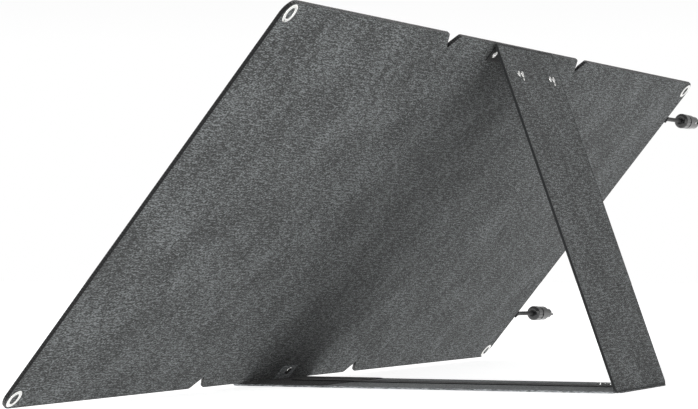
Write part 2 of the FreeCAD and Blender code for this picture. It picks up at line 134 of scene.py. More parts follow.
def grid_faces(rows, cols, close_rows=False, close_cols=False, start=0, flip=False):
    """The quads of a grid of points numbered row by row."""
    i = np.arange(rows if close_rows else rows - 1)[:, None]
    j = np.arange(cols if close_cols else cols - 1)[None, :]
    a = i * cols + j
    b = i * cols + (j + 1) % cols
    c = ((i + 1) % rows) * cols + (j + 1) % cols
    d = ((i + 1) % rows) * cols + j
    quads = np.stack([a, b, c, d], axis=-1).reshape(-1, 4) + start
    return (quads[:, ::-1] if flip else quads).tolist()


def sheet_piece(name, points, uv, flip=False):
    rows, cols = points.shape[:2]
    return mesh_piece(name, points.reshape(-1, 3), grid_faces(rows, cols, flip=flip), uv.reshape(-1, 2))


def thicken(piece, thickness, offset=-1.0):
    """Gives a sheet its real thickness."""
    wall = piece.modifiers.new("cloth thickness", "SOLIDIFY")
    wall.thickness = thickness
    wall.offset = offset
    wall.use_even_offset = True
    return piece


def joined(name, parts):
    """One mesh from several (points, faces, uv) parts."""
    points, faces, uvs, count = [], [], [], 0
    for p, f, u in parts:
        points.append(p)
        faces.extend((np.array(q) + count).tolist() for q in f)
        uvs.append(u)
        count += len(p)
    return mesh_piece(name, np.concatenate(points), faces, np.concatenate(uvs))


def finish_piece(piece, body, material, replaced=()):
    """Material, body and the CAD nodes that the piece stands for."""
    piece.data.materials.clear()
    piece.data.materials.append(material)
    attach(piece, body)
    if replaced:
        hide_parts(*replaced)
    return piece


def rounded_loop(corners, step=2.5 * MM):
    """A closed outline through corners (x, y, radius): straight runs joined by arcs, each dotted."""
    pieces = []
    count = len(corners)
    for i in range(count):
        before = np.array(corners[i - 1][:2])
        here = np.array(corners[i][:2])
        after = np.array(corners[(i + 1) % count][:2])
        radius = corners[i][2]
        u = (before - here) / np.linalg.norm(before - here)
        v = (after - here) / np.linalg.norm(after - here)
        half = math.acos(np.clip(u @ v, -1, 1)) / 2
        centre = here + (u + v) / np.linalg.norm(u + v) * radius / math.sin(half)
        start = here + u * radius / math.tan(half) - centre
        stop = here + v * radius / math.tan(half) - centre
        sweep = math.pi - 2 * half
        turns = np.linspace(0, 1, max(3, int(sweep * radius / (step / 2)) + 2))[:, None]
        arc = (np.sin((1 - turns) * sweep) * start + np.sin(turns * sweep) * stop) / math.sin(sweep)
        pieces.append(centre + arc)
    whole = []
    for i in range(count):
        arc = pieces[i]
        following = pieces[(i + 1) % count][0]
        run = following - arc[-1]
        dots = max(2, int(np.linalg.norm(run) / (4 * step)))
        t = np.linspace(0, 1, dots + 1)[1:-1][:, None]
        whole.append(np.concatenate([arc, arc[-1] + run * t]))
    return np.concatenate(whole)


def inward(loop):
    """Unit normals pointing into a loop that runs counter-clockwise."""
    def unit(vectors):
        return vectors / np.linalg.norm(vectors, axis=1)[:, None]
    tangent = unit(unit(np.roll(loop, -1, axis=0) - loop) + unit(loop - np.roll(loop, 1, axis=0)))
    return np.stack([-tangent[:, 1], tangent[:, 0]], axis=-1)


def along(loop):
    """Distance run along a closed loop, at each of its points."""
    steps = np.linalg.norm(np.roll(loop, -1, axis=0) - loop, axis=1)
    return np.concatenate([[0], np.cumsum(steps)[:-1]])


def swept_loop(loop, profile, plane, tooth=0.0, pitch=1.0):
    """A closed band: the profile (inward distance, height) carried along the loop at right angles to it.
    tooth is how far the outer side of the profile stands out at each overlock stitch, pitch apart."""
    normal = inward(loop)
    run = along(loop)
    total = run[-1] + np.linalg.norm(loop[0] - loop[-1])
    wave = 0.5 + 0.5 * np.cos(2 * math.pi * run / total * max(1, round(total / pitch)))
    outside = np.clip(-profile[:, 0] / BAND_STANDS_OUT, 0, 1)
    across = np.concatenate([[0], np.cumsum(np.linalg.norm(np.diff(profile, axis=0), axis=1))])
    depth = profile[None, :, :1] - tooth * (wave[:, None] * outside[None, :])[..., None]
    flat = loop[:, None, :] + normal[:, None, :] * depth
    points = plane(flat[..., 0], flat[..., 1], np.broadcast_to(profile[None, :, 1], flat.shape[:2]))
    uv = np.stack(np.broadcast_arrays(run[:, None], across[None, :]), axis=-1)
    faces = grid_faces(len(loop), len(profile), close_rows=True, close_cols=True)
    return points.reshape(-1, 3), faces, uv.reshape(-1, 2)


def evenly(loop, step):
    """The same closed loop, dotted at even steps."""
    run = along(loop)
    total = run[-1] + np.linalg.norm(loop[0] - loop[-1])
    at = np.arange(int(total / step)) * total / int(total / step)
    closed = np.concatenate([loop, loop[:1]])
    where = np.concatenate([run, [total]])
    return np.stack([np.interp(at, where, closed[:, 0]), np.interp(at, where, closed[:, 1])], axis=-1)


def stitches(loop, height, plane):
    """A row of thread stitches along a loop: each is a low four-sided spindle between two needle holes,
    which lie a little below the cloth at height."""
    run = along(loop)
    total = run[-1] + np.linalg.norm(loop[0] - loop[-1])
    closed = np.concatenate([loop, loop[:1]])
    at = np.concatenate([run, [total]])
    count = int(total / STITCH_PITCH)
    centres = (np.arange(count) + 0.5) * total / count
    stations = np.array([-0.5, -0.28, 0.28, 0.5]) * STITCH_LONG
    swell = np.array([0.25, 1.0, 1.0, 0.25]) * THREAD_D / 2
    lift = np.array([-0.35, 0.45, 0.45, -0.35]) * THREAD_D
    s = centres[:, None] + stations[None, :]
    x = np.interp(s % total, at, closed[:, 0])
    y = np.interp(s % total, at, closed[:, 1])
    dx, dy = np.gradient(x, axis=1), np.gradient(y, axis=1)
    size = np.maximum(np.hypot(dx, dy), 1e-9)
    nx, ny = -dy / size, dx / size
    side = np.array([1.0, 0.0, -1.0, 0.0])
    up = np.array([0.0, 1.0, 0.0, -1.0])
    px = x[..., None] + nx[..., None] * side * swell[None, :, None]
    py = y[..., None] + ny[..., None] * side * swell[None, :, None]
    pn = height + lift[None, :, None] + up * swell[None, :, None] + 0 * px
    points = plane(px, py, pn).reshape(-1, 3)
    one = grid_faces(4, 4, close_cols=True) + [[3, 2, 1, 0], [12, 13, 14, 15]]
    faces = [[q + 16 * k for q in face] for k in range(count) for face in one]
    return points, faces, np.zeros((len(points), 2))


def edge_steps(low, high, middle):
    """Positions between two edges, close together near both where the seam and rounded corners are."""
    near = np.array([0.0, 0.15, 0.5, 1.1, 2.0, 3.2, 4.4, 5.2, 6.0, 6.8, 7.6, 9.0, 11.5, 14.0, 17.0,
                     21.0]) * MM
    inner = np.linspace(low + near[-1], high - near[-1], middle + 2)[1:-1]
    return np.concatenate([low + near, inner, high - near[::-1]])


def corner_inset(d, radius):
    """How far an outline with a rounded corner lies inside its side, at distance d from the end."""
    d = np.minimum(d, radius)
    return radius - np.sqrt(np.maximum(radius ** 2 - (radius - d) ** 2, 0))


def notch_inset(d, gap):
    """The same for a side with half a V notch: a small lip arc, a slope of one to one, then the gap."""
    r = NOTCH_LIP_R
    lip = NOTCH + r * math.tan(math.pi / 8) - np.sqrt(np.maximum(r ** 2 - (r - np.minimum(d, r)) ** 2, 0))
    return np.maximum(np.where(d < r * (1 - math.cos(math.pi / 4)), lip, NOTCH - d), gap)


def ripple(x, s, seed, size):
    """A slow uneven swell of cloth over board: four sine waves with seeded directions and phases."""
    draw = np.random.default_rng(seed)
    total = np.zeros(np.broadcast(x, s).shape)
    for wave in (0.31, 0.19, 0.12, 0.075):
        angle, phase = draw.uniform(0, math.pi), draw.uniform(0, 2 * math.pi)
        run = x * math.cos(angle) + s * math.sin(angle)
        total = total + wave * np.sin(run * 2 * math.pi / wave + phase)
    return size * total / 0.4


def seam_dip(edge_distance, at=6.0 * MM, width=1.5 * MM, depth=0.35 * MM):
    """A sewn channel: a narrow dip that runs at one distance from the edge."""
    return depth * np.exp(-((edge_distance - at) / width) ** 2)


def cover(name, low_edge, high_edge, height, side, plane, seed, swell):
    """A cloth cover on a board: its width at each row comes from the insets of its two sides. Its height
    is flat plus a slow ripple that dies away towards all sides, and drops a little at the free edges
    only, so that it meets the fold's cloth flush. side is the way it faces. An edge is (x, inset
    function, is free)."""
    x_low, inset_low, free_low = low_edge
    x_high, inset_high, free_high = high_edge
    s = edge_steps(0.0, PANEL_H, 26)
    d = np.minimum(s, PANEL_H - s)
    low, high = x_low + inset_low(d), x_high - inset_high(d)
    share = edge_steps(0.0, x_high - x_low, 26) / (x_high - x_low)
    x = low[:, None] + (high - low)[:, None] * share[None, :]
    ss = np.broadcast_to(s[:, None], x.shape)
    to_low, to_high = x - low[:, None], high[:, None] - x
    fade = np.clip(np.minimum(np.minimum(to_low, to_high), d[:, None]) / (40 * MM), 0, 1) ** 2
    sides = np.minimum(to_low if free_low else math.inf, to_high if free_high else math.inf)
    edge = np.minimum(d[:, None], sides)
    lift = fade * (ripple(x, ss, seed, swell) + 1.2 * swell) - 0.45 * MM * np.exp(-edge / (0.7 * MM))
    points = plane(x, ss, height + side * lift)
    return sheet_piece(name, points, np.stack([x, ss], axis=-1), flip=side < 0)


# ---- materials ----
def srgb(text):
    """An sRGB hex colour as linear red, green, blue and alpha."""
    out = []
    for k in (0, 2, 4):
        c = int(text[k:k + 2], 16) / 255
        out.append(c / 12.92 if c <= 0.04045 else ((c + 0.055) / 1.055) ** 2.4)
    return (*out, 1.0)


def new_material(name, **values):
    """A material with its surface shader and the shader's fixed values set."""
    material = bpy.data.materials.new(name)
    material.use_nodes = True
    shader = material.node_tree.nodes["Principled BSDF"]
    for key, value in values.items():
        shader.inputs[key.replace("_", " ")].default_value = value
    return material, material.node_tree, shader


def add(tree, kind, links=(), **settings):
    """One node, with its settings by name or input number, and links as (input, source socket)."""
    node = tree.nodes.new(kind)
    for key, value in settings.items():
        if key.startswith("in_"):
            node.inputs[int(key[3:])].default_value = value
        else:
            setattr(node, key, value)
    for socket, source in links:
        tree.links.new(source, node.inputs[socket])
    return node


def ramp(tree, source, stops):
    """A colour ramp through (place, hex) stops."""
    node = add(tree, "ShaderNodeValToRGB", [(0, source)])
    bar = node.color_ramp.elements
    while len(bar) < len(stops):
        bar.new(0.5)
    for element, (place, colour) in zip(bar, stops):
        element.position = place
        element.color = srgb(colour)
    return node.outputs[0]


def stretched(tree, source, scale, shift=(0.0, 0.0, 0.0), turn=(0.0, 0.0, 0.0)):
    """Coordinates scaled, shifted and turned, which sets a pattern's size and direction."""
    return add(tree, "ShaderNodeMapping", [(0, source)], in_1=shift, in_2=turn, in_3=scale).outputs[0]


def noise(tree, source, scale, detail, roughness):
    """Random cloudy values near 0.5."""
    return add(tree, "ShaderNodeTexNoise", [("Vector", source)], in_2=scale, in_3=detail,
               in_4=roughness).outputs[0]


def wave(tree, source, scale, distortion, axis):
    """Even ribs across one axis."""
    return add(tree, "ShaderNodeTexWave", [("Vector", source)], in_1=scale, in_2=distortion, in_3=1.0,
               bands_direction=axis).outputs[1]


def combine(tree, operation, *terms):
    """A sum, product or comparison of sockets and fixed numbers."""
    fixed = {f"in_{i}": term for i, term in enumerate(terms) if isinstance(term, float)}
    links = [(i, term) for i, term in enumerate(terms) if not isinstance(term, float)]
    return add(tree, "ShaderNodeMath", links, operation=operation, **fixed).outputs[0]


def spread(tree, source, low, high, to_low, to_high):
    """One range of values carried to another, for roughness or strength."""
    return add(tree, "ShaderNodeMapRange", [(0, source)], in_1=low, in_2=high, in_3=to_low,
               in_4=to_high).outputs[0]


def bump(tree, source, strength, depth, under=()):
    """A surface normal tipped by a height pattern whose full depth is given in metres."""
    return add(tree, "ShaderNodeBump", [("Height", source), *under], in_0=strength, in_1=depth).outputs[0]


def surface(tree, shader, **sockets):
    """Links patterns to the shader's inputs."""
    for key, source in sockets.items():
        tree.links.new(source, shader.inputs[key.replace("_", " ")])


def cloth_uv(tree):
    return add(tree, "ShaderNodeUVMap", uv_map="cloth").outputs[0]


def object_place(tree):
    return add(tree, "ShaderNodeTexCoord").outputs["Object"]


def heather_polyester(name, dark, middle, light):
    """Melange polyester: dyed and undyed yarns spun together and woven, so long pale and dark flecks lie
    along the weft. Flecks are drawn about 15 mm by 2.3 mm with slubs of 4 mm by 1 mm on them,
    coarser than real yarn so that they show. The 0.5 mm weave shows only in the bump."""
    material, tree, shader = new_material(name, Roughness=0.92, Specular_IOR_Level=0.22,
                                          Sheen_Weight=0.12, Sheen_Roughness=0.5)
    cloth = cloth_uv(tree)
    flecks = noise(tree, stretched(tree, cloth, (68.0, 430.0, 1.0)), 1.0, 3.0, 0.75)
    slubs = noise(tree, stretched(tree, cloth, (230.0, 1050.0, 1.0), (3.7, 1.9, 0.0)), 1.0, 1.0, 0.5)
    cloud = noise(tree, cloth, 14.0, 3.0, 0.6)
    halved = combine(tree, "MULTIPLY", combine(tree, "ADD", flecks, slubs), 0.5)
    drift = combine(tree, "MULTIPLY_ADD", cloud, 0.14, -0.07)
    total = combine(tree, "ADD", halved, drift)
    colour = ramp(tree, total, [(0.41, dark), (0.5, middle), (0.59, light)])
    weave = stretched(tree, cloth, (620.0, 620.0, 1.0))
    woven = combine(tree, "MULTIPLY", wave(tree, weave, 1.0, 0.6, "X"), wave(tree, weave, 1.0, 0.6, "Y"))
    threads = bump(tree, woven, 0.35, 0.3 * MM)
    surface(tree, shader, Base_Color=colour,
            Normal=bump(tree, total, 0.3, 0.6 * MM, [("Normal", threads)]))
    return material


def webbing(name, dark, light, repeat, sheen=0.15):
    """Woven polyester or nylon band: a plain weave whose ribs run across it, about a third of the repeat
    apart, with rows two thirds of it apart. A soft sheen pales it where it is seen at a low angle."""
    material, tree, shader = new_material(name, Roughness=0.85, Specular_IOR_Level=0.3,
                                          Sheen_Weight=sheen, Sheen_Roughness=0.4)
    cloth = cloth_uv(tree)
    rib_map = stretched(tree, cloth, (1 / repeat / 6.3, 1 / repeat / 6.3, 1.0))
    ribs, rows = wave(tree, rib_map, 6.3, 0.4, "X"), wave(tree, rib_map, 3.1, 0.8, "Y")
    woven = combine(tree, "MULTIPLY", ribs, rows)
    shade = combine(tree, "MULTIPLY", woven, noise(tree, cloth, 240.0, 3.0, 0.6))
    surface(tree, shader, Base_Color=ramp(tree, shade, [(0.05, dark), (0.7, light)]),
            Normal=bump(tree, woven, 0.5, 0.4 * MM))
    return material


def speckled(name, colour_a, colour_b, scale, rough, depth, **values):
    """A moulded or pressed surface: two close colours in a fine random grain, which also gives the
    surface its slight unevenness and changes its roughness a little."""
    material, tree, shader = new_material(name, **values)
    place = object_place(tree)
    grain = noise(tree, place, scale, 4.0, 0.6)
    both = combine(tree, "MULTIPLY", grain, noise(tree, place, scale / 14, 2.0, 0.5))
    surface(tree, shader, Base_Color=ramp(tree, both, [(0.12, colour_a), (0.4, colour_b)]),
            Roughness=spread(tree, grain, 0.3, 0.7, *rough), Normal=bump(tree, grain, 0.4, depth))
    return material


def monocrystalline_silicon(name):
    """Monocrystalline silicon with a nitride coat: near black with a blue cast, crossed by thin printed
    silver fingers 1.6 mm apart, drawn 0.2 mm wide where the real ones are under 0.1 mm."""
    material, tree, shader = new_material(name, Roughness=0.22, IOR=1.9, Coat_Weight=0.5,
                                          Coat_Roughness=0.1)
    place = object_place(tree)
    turned = stretched(tree, place, (1.0, 1.0, 1.0), turn=(-math.atan2(SIN, COS), 0.0, 0.0))
    up_slope = add(tree, "ShaderNodeSeparateXYZ", [(0, turned)]).outputs[1]
    away = combine(tree, "ABSOLUTE", combine(tree, "MODULO", up_slope, 1.6 * MM))
    finger = combine(tree, "LESS_THAN", away, 0.2 * MM)
    blue = ramp(tree, noise(tree, place, 11.0, 2.0, 0.5), [(0.3, "0B101C"), (0.7, "141C30")])
    painted = add(tree, "ShaderNodeMix", [(0, finger), (6, blue)], data_type="RGBA",
                  in_7=srgb("5A6370"))
    surface(tree, shader, Base_Color=painted.outputs[2])
    return material


def embossed_film(name):
    """Clear embossed fluoropolymer film: see-through, with a fine pebble that blurs reflections."""
    material, tree, shader = new_material(name, Roughness=0.32, IOR=1.4, Alpha=0.07,
                                          Base_Color=srgb("56606E"))
    place = object_place(tree)
    pebble = add(tree, "ShaderNodeTexVoronoi", [("Vector", place)], in_2=640.0).outputs[0]
    surface(tree, shader, Normal=bump(tree, pebble, 0.35, 0.2 * MM),
            Roughness=spread(tree, pebble, 0.0, 0.8, 0.22, 0.42))
    return material


def bright_nickel(name):
    """Nickel-plated brass, pressed and polished: a warm white mirror with faint handling haze."""
    material, tree, shader = new_material(name, Metallic=1.0)
    smear = noise(tree, object_place(tree), 420.0, 3.0, 0.6)
    surface(tree, shader, Roughness=spread(tree, smear, 0.3, 0.7, 0.12, 0.26),
            Base_Color=ramp(tree, smear, [(0.3, "D6D6D4"), (0.7, "ECECEA")]))
    return material


def paper_floor(name):
    """A plain pale sweep of matte translucent paper, lit a little from beneath to keep it near white."""
    material, tree, shader = new_material(name, Roughness=0.95, Specular_IOR_Level=0.05,
                                          Emission_Strength=0.75, Emission_Color=(1.0, 1.0, 1.0, 1.0))
    tone = noise(tree, object_place(tree), 3.0, 2.0, 0.5)
    surface(tree, shader, Base_Color=ramp(tree, tone, [(0.0, "FCFCFC"), (1.0, "FEFEFE")]))
    return material


# Each finish: its maker, its full name, then the maker's colours, scales and roughness.
FINISHES = {
    "heather": (heather_polyester, "heather polyester", "0A0B0B", "333535", "797D7E"),
    # A lighter copy of the heather cloth. On the base's upper cover it is painted sheen, standing in for
    # the grazing reflection that pales the base's top. On the bottom tab it is painted light that lifts
    # the tab out of the shade under the panel. On the base's binding it makes the edge pale grey.
    "lining": (heather_polyester, "grey polyester lining", "4C4F50", "7D8082", "A9ACAE"),
    "band": (webbing, "black polyester binding", "060607", "17181A", 1.1 * MM, 0.5),
    "leg band": (webbing, "charcoal polyester binding", "1C1D1E", "383A3B", 1.1 * MM),
    "strap": (webbing, "black nylon webbing", "050506", "121315", 1.8 * MM),
    "border": (webbing, "black coated polyester", "0B0B0D", "1B1C1F", 0.9 * MM),
    "thread": (webbing, "polyester sewing thread", "2E3032", "55585A", 0.4 * MM),
    "silicon": (monocrystalline_silicon, "monocrystalline silicon"),
    "film": (embossed_film, "embossed clear film"),
    "nickel": (bright_nickel, "nickel-plated brass"),
    "back sheet": (speckled, "black laminate sheet", "0C0D10", "16171B", 900.0, (0.45, 0.6), 0.1 * MM),
    "board": (speckled, "pressed fibre board", "7D776A", "A39C8B", 700.0, (0.8, 0.95), 0.3 * MM),
    "ribbon": (speckled, "tinned copper ribbon", "A9ABAD", "C8CACB", 1200.0, (0.25, 0.4), 0.1 * MM),
    "contact": (speckled, "tinned copper contact", "B5B3AC", "D4D2CC", 900.0, (0.2, 0.35), 0.1 * MM),
    "jacket": (speckled, "cross-linked polyolefin jacket", "0D0D0E", "1D1D1F", 800.0, (0.42, 0.58),
               0.2 * MM),
    "housing": (speckled, "moulded polyphenylene housing", "08080A", "18191B", 700.0, (0.16, 0.3),
                0.1 * MM),
    "seal": (speckled, "silicone seal", "17181A", "2A2B2D", 500.0, (0.5, 0.65), 0.1 * MM),
}
SHADER_VALUES = {
    "ribbon": {"Metallic": 1.0},
    "contact": {"Metallic": 1.0},
    "housing": {"Coat_Weight": 0.5, "Coat_Roughness": 0.12, "Coat_IOR": 1.7},
}
MATERIALS = {}


def material(key):
    """Each material is made once, when it is first asked for."""
    if key not in MATERIALS:
        maker, name, *values = FINISHES[key]
        MATERIALS[key] = maker(name, *values, **SHADER_VALUES.get(key, {}))
    return MATERIALS[key]


def paint(names, key):
    """Gives carried-over frame nodes their finish."""
    for name in names:
        node = NODES[name]
        node.data.materials.clear()
        node.data.materials.append(material(key))


# ---- outlines of the sections ----
SECTIONS = (
    ("end", FOLD_A, END_A, FOLD_A_GAP, None, "end_section", 11),
    ("middle", FOLD_B, FOLD_A, FOLD_B_GAP, FOLD_A_GAP, "middle_section", 12),
    ("cable", END_C, FOLD_B, None, FOLD_B_GAP, "cable_section", 13),
)


def section_loop(low, high, gap_low, gap_high, inset=0.0):
    """A section's outline, counter-clockwise. A side with a gap has half a notch at both its ends."""
    def side(edge, gap, sign):
        if gap is None:
            return [(edge + sign * inset, PANEL_H - inset, max(CORNER_R - inset, 3 * MM)),
                    (edge + sign * inset, inset, max(CORNER_R - inset, 3 * MM))]
        lean = inset * math.tan(math.pi / 8)
        x = edge + sign * (gap + inset)
        lip = edge + sign * (NOTCH + lean)
        cut = NOTCH - gap + lean
        return [(lip, PANEL_H - inset, NOTCH_LIP_R), (x, PANEL_H - cut, NOTCH_FOOT_R),
                (x, cut, NOTCH_FOOT_R), (lip, inset, NOTCH_LIP_R)]
    right = side(high, gap_high, -1)
    right.reverse()
    return rounded_loop(side(low, gap_low, 1) + right)


# The binding's cross-section: (distance in from the edge, height). Its front lip is the wider one.
BAND_PROFILE = np.array([(1.2, 4.45), (0.4, 4.5), (-0.15, 4.3), (-0.4, 3.7), (-0.42, 2.1), (-0.4, 0.7),
                         (-0.2, 0.15), (0.1, -0.05), (0.4, 0.05), (0.6, 0.7), (0.7, 2.1), (0.8, 3.6),
                         (3.4, 4.12), (3.8, 4.28), (3.4, 4.46)]) * MM
BAND_STANDS_OUT = 0.4 * MM
OVERLOCK_PITCH = 3.6 * MM
OVERLOCK_TOOTH = 0.4 * MM
STITCH_PITCH = 4.2 * MM
STITCH_LONG = 3.0 * MM
THREAD_D = 0.55 * MM
BORDER_INSET = 1.0 * MM
BORDER_ENDS = 28 * MM
FILM_LAP = 6 * MM
# The front border's cross-section: (share of the way from the band to the film, height).
BORDER_SHARES = np.array([0.0, 0.06, 0.14, 0.2, 0.26, 0.34, 0.6, 0.85, 0.96, 1.0])
BORDER_HEIGHTS = np.array([3.6, 4.25, 4.3, 4.05, 4.3, 4.3, 4.3, 4.3, 4.15, 3.7]) * MM
THREAD_HEIGHT = 4.45 * MM


class PanelSizes(bpy.types.PropertyGroup):
    """Sizes of the soft pieces that can be changed."""
    ripple: bpy.props.FloatProperty(name="Ripple", description="How far the back covers swell",
                                    default=0.45 * MM, min=0, unit="LENGTH")
    leg_ripple: bpy.props.FloatProperty(name="Leg ripple", description="How far the leg's cover swells",
                                        default=0.25 * MM, min=0, unit="LENGTH")
    seam_in: bpy.props.FloatProperty(name="Seam", description="Distance of the sewn seam from the edge",
                                     default=6 * MM, min=0, unit="LENGTH")
    lead_diameter: bpy.props.FloatProperty(name="Lead", description="Outside diameter of the output leads",
                                           default=6 * MM, min=0, unit="LENGTH")


class StageLook(bpy.types.PropertyGroup):
    """Floor, light and camera."""
    world_strength: bpy.props.FloatProperty(name="Room light", description="Strength of the room light",
                                            default=1.0, min=0)
    zenith_strength: bpy.props.FloatProperty(name="Ceiling light", description="Room light overhead",
                                             default=0.35, min=0)
    key_power: bpy.props.FloatProperty(name="Key light", description="Power of the large key light",
                                       default=8.0, min=0, unit="POWER")
    lens: bpy.props.FloatProperty(name="Lens", description="Focal length of the camera in millimetres",
                                  default=133.9, min=1)
    camera_place: bpy.props.FloatVectorProperty(name="Camera", description="Where the camera stands",
                                                size=3, default=(2.9624, 1.1389, 0.1637),
                                                subtype="TRANSLATION", unit="LENGTH")
    camera_yaw: bpy.props.FloatProperty(name="Camera yaw", description="Camera's turn from straight ahead",
                                        default=math.radians(66.434), subtype="ANGLE", unit="ROTATION")
    camera_pitch: bpy.props.FloatProperty(name="Camera pitch", description="Camera's upward tilt",
                                          default=math.radians(1.01), subtype="ANGLE", unit="ROTATION")
    camera_roll: bpy.props.FloatProperty(name="Camera roll", description="Camera's clockwise roll",
                                         default=math.radians(0.131), subtype="ANGLE", unit="ROTATION")


class SOLARPANEL_OT_back_covers(bpy.types.Operator):
    """Builds the grey back covers of the three sections."""
    bl_idname = "solarpanel.back_covers"
    bl_label = "Back covers"

    def execute(self, context):
        sizes = context.scene.panel_sizes
        for name, low, high, gap_low, gap_high, body, seed in SECTIONS:
            edges = []
            for x, gap in ((low, gap_low), (high, gap_high)):
                if gap is None:
                    edges.append((x, lambda d: corner_inset(d, CORNER_R), True))
                else:
                    edges.append((x, lambda d, gap=gap: notch_inset(d, gap), False))
            piece = cover(name + "_back_fabric", *edges, 0.0, -1, slope_plane, seed, sizes.ripple)
            thicken(piece, BACK_T * 0.8)
            finish_piece(piece, body, material("heather"), [name + "_back_cover"])
        return {"FINISHED"}


class SOLARPANEL_OT_edge_bands(bpy.types.Operator):
    """Builds the black bindings round the sections."""
    bl_idname = "solarpanel.edge_bands"
    bl_label = "Edge bands"

    def execute(self, context):
        for name, low, high, gap_low, gap_high, body, seed in SECTIONS:
            loop = evenly(section_loop(low, high, gap_low, gap_high), OVERLOCK_PITCH / 5)
            band = swept_loop(loop, BAND_PROFILE, slope_plane, OVERLOCK_TOOTH, OVERLOCK_PITCH)
            piece = joined(name + "_binding", [band])
            finish_piece(piece, body, material("band"), [name + "_edge_band"])
        return {"FINISHED"}


class SOLARPANEL_OT_fronts(bpy.types.Operator):
    """Builds the front borders and finishes the laminates."""
    bl_idname = "solarpanel.fronts"
    bl_label = "Cell side"

    def execute(self, context):
        sizes = context.scene.panel_sizes
        for name, low, high, gap_low, gap_high, body, seed in SECTIONS:
            film_low, film_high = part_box(name + "_front_film")
            outer = section_loop(low, high, gap_low, gap_high, BORDER_INSET)
            half_x = (film_high.x - film_low.x) / 2 - FILM_LAP
            half_s = PANEL_H / 2 - BORDER_ENDS
            centre = np.array([(film_high.x + film_low.x) / 2, PANEL_H / 2])
            offset = outer - centre
            reach = np.minimum(half_x / np.maximum(np.abs(offset[:, 0]), 1e-9),
                               half_s / np.maximum(np.abs(offset[:, 1]), 1e-9))
            inner = centre + offset * reach[:, None]
            share = BORDER_SHARES[None, :, None]
            flat = outer[:, None, :] * (1 - share) + inner[:, None, :] * share
            height = np.broadcast_to(BORDER_HEIGHTS, flat.shape[:2])
            points = slope_plane(flat[..., 0], flat[..., 1], height).reshape(-1, 3)
            faces = grid_faces(len(outer), len(BORDER_SHARES), close_rows=True, flip=True)
            piece = mesh_piece(name + "_front_fabric", points, faces, flat.reshape(-1, 2))
            thicken(piece, 0.5 * MM)
            finish_piece(piece, body, material("border"), [name + "_front_border"])
            loop = section_loop(low, high, gap_low, gap_high, sizes.seam_in)
            thread = joined(name + "_front_thread", [stitches(loop, THREAD_HEIGHT, slope_plane)])
            finish_piece(thread, body, material("thread"))
            for node, key in (("_cells", "silicon"), ("_front_film", "film"), ("_board", "board"),
                              ("_back_sheet", "back sheet"), ("_ribbons", "ribbon")):
                paint([name + node], key)
        return {"FINISHED"}


class SOLARPANEL_OT_folds(bpy.types.Operator):
    """Builds the fabric that joins the sections at the two folds."""
    bl_idname = "solarpanel.folds"
    bl_label = "Fold fabric"

    def execute(self, context):
        folds = (("a", FOLD_A, FOLD_A_GAP, "end_section", 1),
                 ("b", FOLD_B, FOLD_B_GAP, "cable_section", -1))
        for key, fold, gap, outer_body, sign in folds:
            reach = gap + 0.3 * MM
            x = np.linspace(fold - reach, fold + reach, 33)
            apex = NOTCH - np.sqrt((x - fold) ** 2 + (1.2 * MM) ** 2)
            share = np.linspace(0, 1, 60)
            s = apex[None, :] + (PANEL_H - 2 * apex)[None, :] * share[:, None]
            xx = np.broadcast_to(x[None, :], s.shape)
            crease = 0.3 * MM * np.exp(-((xx - fold) / (1.2 * MM)) ** 2)
            tuck = 0.05 * MM * np.clip((np.abs(xx - fold) - gap + 0.1 * MM) / (0.3 * MM), 0, 1)
            for label, height, side, tone, slot in (("back", 0.0, -1, "heather", "heather_fabric"),
                                                    ("front", 2.2 * MM, 1, "border", "border_fabric")):
                points = slope_plane(xx, s, height + (crease + tuck if side < 0 else -crease))
                piece = sheet_piece("fold_" + key + "_" + label, points, np.stack([xx, s], -1),
                                    flip=side < 0)
                piece.data.materials.append(material(tone))
                thicken(piece, 0.5 * MM)
                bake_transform(piece)
                if side < 0:
                    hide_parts("fold_strip_" + key)
        return {"FINISHED"}


def spun_part(profile, place, axis_plane, turns=40):
    """A ring or cap: a profile of (radius, height) turned about its own axis at place in a plane."""
    angle = np.linspace(0, 2 * math.pi, turns, endpoint=False)
    r, h = profile[:, 0] * MM, profile[:, 1] * MM
    x = place[0] + np.outer(np.cos(angle), r)
    s = place[1] + np.outer(np.sin(angle), r)
    points = axis_plane(x, s, np.broadcast_to(h[None, :], x.shape) + place[2])
    uv = np.stack([x, s], axis=-1).reshape(-1, 2)
    return points.reshape(-1, 3), grid_faces(turns, len(profile), close_rows=True), uv


def ring_part(profile, place, axis_plane, turns=48):
    """The same for a closed profile, such as an eyelet's."""
    points, faces, uv = spun_part(profile, place, axis_plane, turns)
    return points, grid_faces(turns, len(profile), close_rows=True, close_cols=True), uv


# The eyelet's cross-section in millimetres: (radius, height), front roll, barrel and back roll.
EYELET_PROFILE = np.array([(6.2, 2.1), (6.25, 4.3), (6.7, 4.8), (7.6, 4.95), (8.7, 4.9), (9.9, 4.75),
                           (10.8, 4.5), (11.0, 4.3), (7.1, 4.25), (7.0, 0.0), (11.0, -0.1), (10.9, -0.35),
                           (10.0, -0.75), (8.7, -1.0), (7.5, -1.05), (6.6, -0.8), (6.25, -0.2)])


class SOLARPANEL_OT_eyelets(bpy.types.Operator):
    """Builds the rolled eyelets at the outer corners."""
    bl_idname = "solarpanel.eyelets"
    bl_label = "Eyelets"

    def execute(self, context):
        for name, x, body in (("end", END_A - EYELET_X, "end_section"),
                              ("cable", END_C + EYELET_X, "cable_section")):
            parts = [ring_part(EYELET_PROFILE, (x, s, 0.0), slope_plane)
                     for s in (EYELET_S, PANEL_H - EYELET_S)]
            piece = joined(name + "_rolled_eyelets", parts)
            finish_piece(piece, body, material("nickel"), [name + "_eyelets"])
        return {"FINISHED"}


